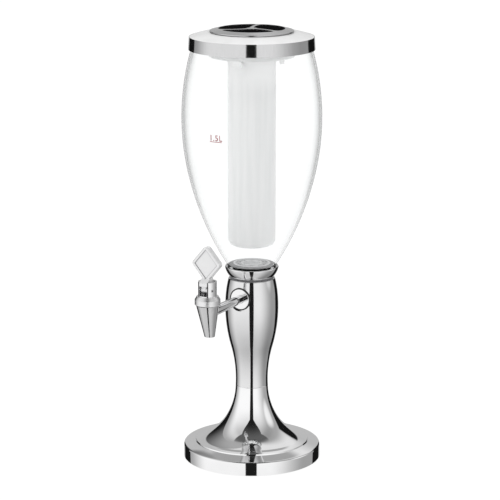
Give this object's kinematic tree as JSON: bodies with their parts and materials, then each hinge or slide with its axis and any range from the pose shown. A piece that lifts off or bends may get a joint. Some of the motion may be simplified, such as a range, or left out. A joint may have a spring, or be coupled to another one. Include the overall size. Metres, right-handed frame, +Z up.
{
  "type": "beer tower",
  "caption": "Free-standing drinks tower: clear goblet vessel with a hanging ice tube and lid on a chrome stem, and a sprung lever tap on the stem that fills a glass.",
  "frame": {"origin": "middle of the flat foot, on the table", "axes": "+Z up along the tower's axis, -Y towards the tap, +X to the right of someone who faces the tap"},
  "size_m": [0.157, 0.1927, 0.4943],
  "materials": {
    "chrome": "polished",
    "clear": "gloss",
    "frosted": "satin",
    "white": "gloss",
    "black": "gloss",
    "silver": "satin",
    "inner_plastic": "matte",
    "rubber": "matte",
    "iron": "matte",
    "steel": "satin"
  },
  "bodies": {
    "stand": {"base_shell": "chrome", "foot_pad": "rubber", "base_plate": "inner_plastic", "base_plate_screws": "steel", "ballast_weight": "iron", "tie_bolt": "steel", "tie_washer": "steel", "tie_nut": "steel", "stem_shell": "chrome", "sump_cup": "inner_plastic", "collar": "chrome", "neck_seal": "rubber", "vessel": "clear", "strainer_disc": "silver", "tap_body": "chrome", "tap_escutcheon": "chrome", "tap_grommet": "rubber", "shank_gasket": "rubber", "shank_nut": "inner_plastic", "bonnet_nut": "chrome", "bonnet": "chrome", "bonnet_seal": "rubber", "lever_pin": "steel", "tap_spring": "steel"},
    "lid": {"lid_shell": "white", "lid_band": "chrome", "lid_seal": "rubber", "tube_seal": "rubber"},
    "ice_tube": {"ice_tube": "frosted"},
    "cap_ring": {"cap_seal": "rubber"},
    "cap": {"grip_cap": "black", "grip_trim": "chrome"},
    "lever": {"tap_lever": "silver"},
    "plunger": {"tap_plunger": "inner_plastic", "seat_cup": "rubber"}
  },
  "joints": [
    {"name": "lid_lift", "type": "slide", "parent": "stand", "child": "lid", "axis": [0, 0, 1], "range_m": [0, 0.25]},
    {"name": "tube_turn", "type": "hinge", "parent": "lid", "child": "ice_tube", "pos_m": [0, 0, 0.462], "axis": [0, 0, 1], "range_deg": [0, 30]},
    {"name": "cap_lift", "type": "slide", "parent": "lid", "child": "cap_ring", "axis": [0, 0, 1], "range_m": [0, 0.06]},
    {"name": "cap_turn", "type": "hinge", "parent": "cap_ring", "child": "cap", "pos_m": [0, 0, 0.4906], "axis": [0, 0, 1], "range_deg": [0, 90]},
    {"name": "lever_pull", "type": "hinge", "parent": "stand", "child": "lever", "pos_m": [0, -0.1052, 0.21935], "axis": [1, 0, 0], "range_deg": [0, 45], "stiffness_Nm_per_rad": 0.15, "springref_deg": -28.65},
    {"name": "plunger_lift", "type": "slide", "parent": "stand", "child": "plunger", "axis": [0, 0, 1], "range_m": [0, 0.0042], "deforming": ["tap_spring"]}
  ],
  "couplings": [
    {"joint": "plunger_lift", "follows": "lever_pull", "m_per_rad": 0.0052}
  ]
}
